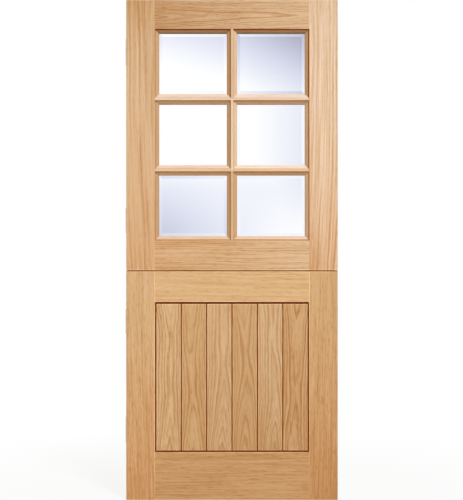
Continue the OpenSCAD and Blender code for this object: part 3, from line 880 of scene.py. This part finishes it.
def make_bead_run():
    tree = bpy.data.node_groups.new("bead_run", "ShaderNodeTree")
    add_sockets(tree, "INPUT", "NodeSocketVector", ["Place"])
    add_sockets(tree, "OUTPUT", "NodeSocketVector", ["Along The Bead"])
    add_sockets(tree, "OUTPUT", "NodeSocketFloat", ["Level", "Head", "Outer", "Quirk Shadow", "Sight Shade"])
    place = add_node(tree, "NodeGroupInput").outputs["Place"]
    parts = split(tree, place)
    aside = reckon(tree, "SUBTRACT", reckon(tree, "ABSOLUTE", parts["X"]), light_middle_x)
    from_side = reckon(tree, "SUBTRACT", light_half[0], reckon(tree, "ABSOLUTE", aside))
    raised = reckon(tree, "SUBTRACT", parts["Z"], light_foot)
    in_light = reckon(tree, "FLOORED_MODULO", raised, light_pitch)
    folded = reckon(tree, "SUBTRACT", in_light, light_half[1])
    from_head = reckon(tree, "SUBTRACT", light_half[1], reckon(tree, "ABSOLUTE", folded))
    level = reckon(tree, "LESS_THAN", from_head, from_side)
    head = reckon(tree, "MULTIPLY", level, reckon(tree, "GREATER_THAN", folded, 0.0))
    choice = add_node(tree, "ShaderNodeMix", data_type="VECTOR")
    feed(tree, level, choice.inputs[0])
    feed(tree, place, choice.inputs[4])
    feed(tree, place_along(tree, place, "X"), choice.inputs[5])
    to_joint = reckon(tree, "MINIMUM", from_side, reckon(tree, "ADD", from_head, head_joint_shift))
    near_glass = ease(tree, from_head, *sight_shade_band)
    output = add_node(tree, "NodeGroupOutput").inputs
    feed(tree, choice.outputs[1], output["Along The Bead"])
    feed(tree, level, output["Level"])
    feed(tree, head, output["Head"])
    feed(tree, reckon(tree, "GREATER_THAN", aside, 0.0), output["Outer"])
    feed(tree, ease(tree, to_joint, *joint_width), output["Quirk Shadow"])
    feed(tree, reckon(tree, "MULTIPLY", head, near_glass), output["Sight Shade"])
    return tree


bead_run = make_bead_run()
print("bead direction group:", len(bead_run.nodes), "nodes")

# %% Bead finish
bead_grey = 0.6
grey_wood = (bead_grey, bead_grey, bead_grey, 1.0)
back_to_white = (1 / bead_grey, 1 / bead_grey, 1 / bead_grey, 1.0)
bead_log = dict(along="Z", pith=(0.31, 0.2, 0.0), lean=(0.0, 0.0), spread=0.8, ring_width=0.008,
                wander=0.02, figure=0.5)


# Chooses each bead's painted light or shade by the side of the pane it sits on.
def shade_by_bead(tree, run, inner, outer, foot, head):
    sides = blend_colours(tree, run.outputs["Outer"], inner, outer)
    levels = blend_colours(tree, run.outputs["Head"], foot, head)
    return blend_colours(tree, run.outputs["Level"], sides, levels)


def bead_finish(name, bead_shadings, joints, sight_shade, seed):
    finish = oak_finish(name, grey_wood, centre=(0, 0, 0), seed=seed, **bead_log)
    tree, surface, grain_tone, place = reopen_finish(finish)
    run = add_node(tree, "ShaderNodeGroup", node_tree=bead_run)
    feed(tree, place, run.inputs["Place"])
    feed(tree, run.outputs["Along The Bead"], tree.nodes["Mapping"].inputs["Vector"])
    # Painted light and shade on the grain, by the way each bead faces.
    lit_and_shaded = tint(tree, grain_tone, shade_by_bead(tree, run, *bead_shadings))
    wood = tint(tree, lit_and_shaded, back_to_white)
    # The joint line: a real joint with painted shadow on the shaded sides.
    joint_shaded = tint(tree, wood, shade_by_bead(tree, run, *joints))
    quirk_shadowed = blend_colours(tree, run.outputs["Quirk Shadow"], wood, joint_shaded)
    # Painted shade along the glass on the head beads.
    sight_shaded = tint(tree, quirk_shadowed, sight_shade)
    feed(tree, blend_colours(tree, run.outputs["Sight Shade"], quirk_shadowed, sight_shaded), surface["Base Color"])
    surface["Specular IOR Level"].default_value = 0.4
    return finish


print("grey under the bead tones:", bead_grey)

# %% Painted light and shade of the beads and their joints
# Side tones, darkest to palest: painted shade and painted light by the way each bead faces.
brown_shading = paint(195, 148, 101)
warm_shading = paint(200, 157, 112)
plain_shading = paint(205, 164, 121)
light_shading = paint(214, 176, 136)
pale_shading = paint(223, 190, 155)
# Foot beads face up: paler wood under a painted sheen, one tone per pane.
foot_sheen_tones = [
    paint(218, 190, 166), paint(223, 196, 174),
    paint(218, 188, 158), paint(222, 194, 168),
    paint(216, 181, 143), paint(216, 181, 143),
]
# Head beads face down: painted shade in the top row, painted light in the rows below.
shaded_head_tone = paint(209, 152, 98)
lit_head_tone = paint(236, 184, 131)
# Joint lines beside the beads: a real joint, darkened with painted shadow on the shaded sides.
faint_joint_shade = (0.85, 0.80, 0.74, 1.0)
plain_joint_shade = (0.68, 0.58, 0.46, 1.0)
soft_joint_shade = (0.58, 0.42, 0.27, 1.0)
brown_joint_shade = (0.45, 0.28, 0.14, 1.0)
dark_joint_shade = (0.32, 0.15, 0.05, 1.0)
# Painted shade along the glass, on the head beads of the top row only.
shaded_sight = (0.66, 0.72, 0.76, 1.0)
no_sight_shade = (1.0, 1.0, 1.0, 1.0)
print("foot sticks:", len(foot_sheen_tones))

# %% Glazing beads
head_shadings = (shaded_head_tone, lit_head_tone, lit_head_tone)
head_joint_shades = (dark_joint_shade, soft_joint_shade, brown_joint_shade)
foot_joint_shades = (faint_joint_shade, faint_joint_shade, plain_joint_shade)
sight_shades = (shaded_sight, no_sight_shade, no_sight_shade)
hinge_side_shadings = ((brown_shading, warm_shading), (warm_shading, warm_shading), (warm_shading, warm_shading))
hinge_side_joint_shades = ((dark_joint_shade, faint_joint_shade), (soft_joint_shade, faint_joint_shade), (soft_joint_shade, faint_joint_shade))
lock_side_shadings = ((pale_shading, brown_shading), (pale_shading, plain_shading), (plain_shading, light_shading))
lock_side_joint_shades = ((faint_joint_shade, dark_joint_shade), (faint_joint_shade, plain_joint_shade), (faint_joint_shade, faint_joint_shade))
seed_step = 1.3
for number, foot in enumerate(foot_sheen_tones, start=1):
    row = (number - 1) // 2
    at_hinge_side = number % 2 == 1
    side_shadings = hinge_side_shadings[row] if at_hinge_side else lock_side_shadings[row]
    side_joint_shades = hinge_side_joint_shades[row] if at_hinge_side else lock_side_joint_shades[row]
    bead_shadings = (*side_shadings, foot, head_shadings[row])
    joints = (*side_joint_shades, foot_joint_shades[row], head_joint_shades[row])
    bead_oak = bead_finish("oak_beads_%d" % number, bead_shadings, joints, sight_shades[row], seed_step * number)
    dress("front_beads_%d" % number, bead_oak)
    dress("back_beads_%d" % number, bead_oak)
print("bead sets dressed:", 2 * len(foot_sheen_tones))

# %% [markdown]
# ## Glass
# Each light is a sealed unit: two panes with a spacer between them, and the front pane has a wide
# bevel. Real float glass is not quite flat and never quite clean, so a very slow ripple goes into the
# normal and a faint film into the roughness. Colour and transmission stay plain.

# %% Glass
film_band = (0.45, 0.8)
film_most = 0.02


def pane_finish(name):
    finish, tree, surface, place = start_finish(name)
    film = ease(tree, cloudy(tree, place, scale=14.0, detail=3.0)["Fac"], *film_band)
    feed(tree, reckon(tree, "MULTIPLY", film, film_most), surface["Roughness"])
    ripple = cloudy(tree, place, scale=5.0, detail=1.0)["Fac"]
    add_bump(tree, surface, ripple, strength=0.08, distance=0.0004)
    surface["Base Color"].default_value = (1.0, 1.0, 1.0, 1.0)
    surface["Transmission Weight"].default_value = 1.0
    surface["IOR"].default_value = 1.5
    return finish


clear_glass = pane_finish("clear_glass")
for number in range(1, 7):
    dress("front_pane_%d" % number, clear_glass)
    dress("back_pane_%d" % number, clear_glass)
print("panes dressed: 12")

# %% [markdown]
# ## Spacers, setting blocks and dowels
# These are seldom seen, but the edge of a spacer shows through the glass from the side, and a taken
# out unit shows its blocks. The spacer is rolled aluminium with fine lines, the block is hard black
# rubber with a matt skin, and the dowels are beech, paler and plainer than the oak round them.

# %% Spacers and setting blocks
def rolled_aluminium():
    finish, tree, surface, place = start_finish("spacer_aluminium")
    rolled = streaky(tree, place, waves=(260.0, 2600.0, 260.0), detail=2.0)["Fac"]
    shine = blend_colours(tree, rolled, paint(196, 198, 202), paint(224, 226, 228))
    feed(tree, shine, surface["Base Color"])
    set_roughness(tree, surface, rolled, swing=0.2, least=0.28)
    surface["Metallic"].default_value = 1.0
    return finish


def hard_rubber():
    finish, tree, surface, place = start_finish("block_rubber")
    skin = cloudy(tree, place, scale=900.0, detail=2.0)["Fac"]
    black = blend_colours(tree, skin, paint(30, 30, 31), paint(52, 51, 50))
    feed(tree, black, surface["Base Color"])
    set_roughness(tree, surface, skin, swing=0.2, least=0.62)
    add_bump(tree, surface, skin, strength=0.3, distance=0.0003)
    return finish


dress("pane_spacers", rolled_aluminium())
dress("setting_blocks", hard_rubber())
print("spacers and blocks dressed")

# %% Dowels
beech = oak_finish("dowel_beech", paint(222, 184, 146), centre=(0, 0, 0), along="X",
                   pith=(0.1, 0.1, 0.0), lean=(0.0, 0.0), spread=0.5, seed=0.9, ring_width=0.004,
                   wander=0.01, figure=0.3)
dress("upper_dowels", beech)
dress("lower_dowels", beech)
print("dowels dressed: 2 sets")

# %% [markdown]
# ## Steel hinges
# Satin steel hinges have fine lines along their length from the brush, and the tone changes a little
# in patches where hands have touched it. The lines go into roughness and bump, the patches into
# colour and roughness. The screws are turned from rod, so they get finer lines and a duller tone.

# %% Steel
lines_along = 12.0
touched_band = (0.35, 0.75)
line_roughness = (0.22, 0.2)
patch_roughness = 0.12


def brushed_steel(name, bright, dull, line_width):
    finish, tree, surface, place = start_finish(name)
    waves = (1 / line_width, 1 / line_width, lines_along)
    lines = streaky(tree, place, waves, detail=2.0)["Fac"]
    patches = cloudy(tree, place, scale=55.0, detail=3.0)["Fac"]
    touched = ease(tree, patches, *touched_band)
    feed(tree, blend_colours(tree, touched, bright, dull), surface["Base Color"])
    rough = reckon(tree, "MULTIPLY_ADD", lines, *line_roughness)
    set_roughness(tree, surface, patches, swing=patch_roughness, least=rough)
    add_bump(tree, surface, lines, strength=0.15, distance=0.0002)
    surface["Metallic"].default_value = 1.0
    return finish


hinge_steel = brushed_steel("hinge_steel", paint(226, 227, 226), paint(204, 204, 202), 0.0004)
screw_steel = brushed_steel("screw_steel", paint(220, 220, 218), paint(190, 190, 188), 0.0003)
for number in range(1, 5):
    for kind in ("frame_flap", "leaf_flap", "hinge_pin"):
        dress("%s_%d" % (kind, number), hinge_steel)
dress("upper_hinge_screws", screw_steel)
dress("lower_hinge_screws", screw_steel)
print("hinges dressed: 4")
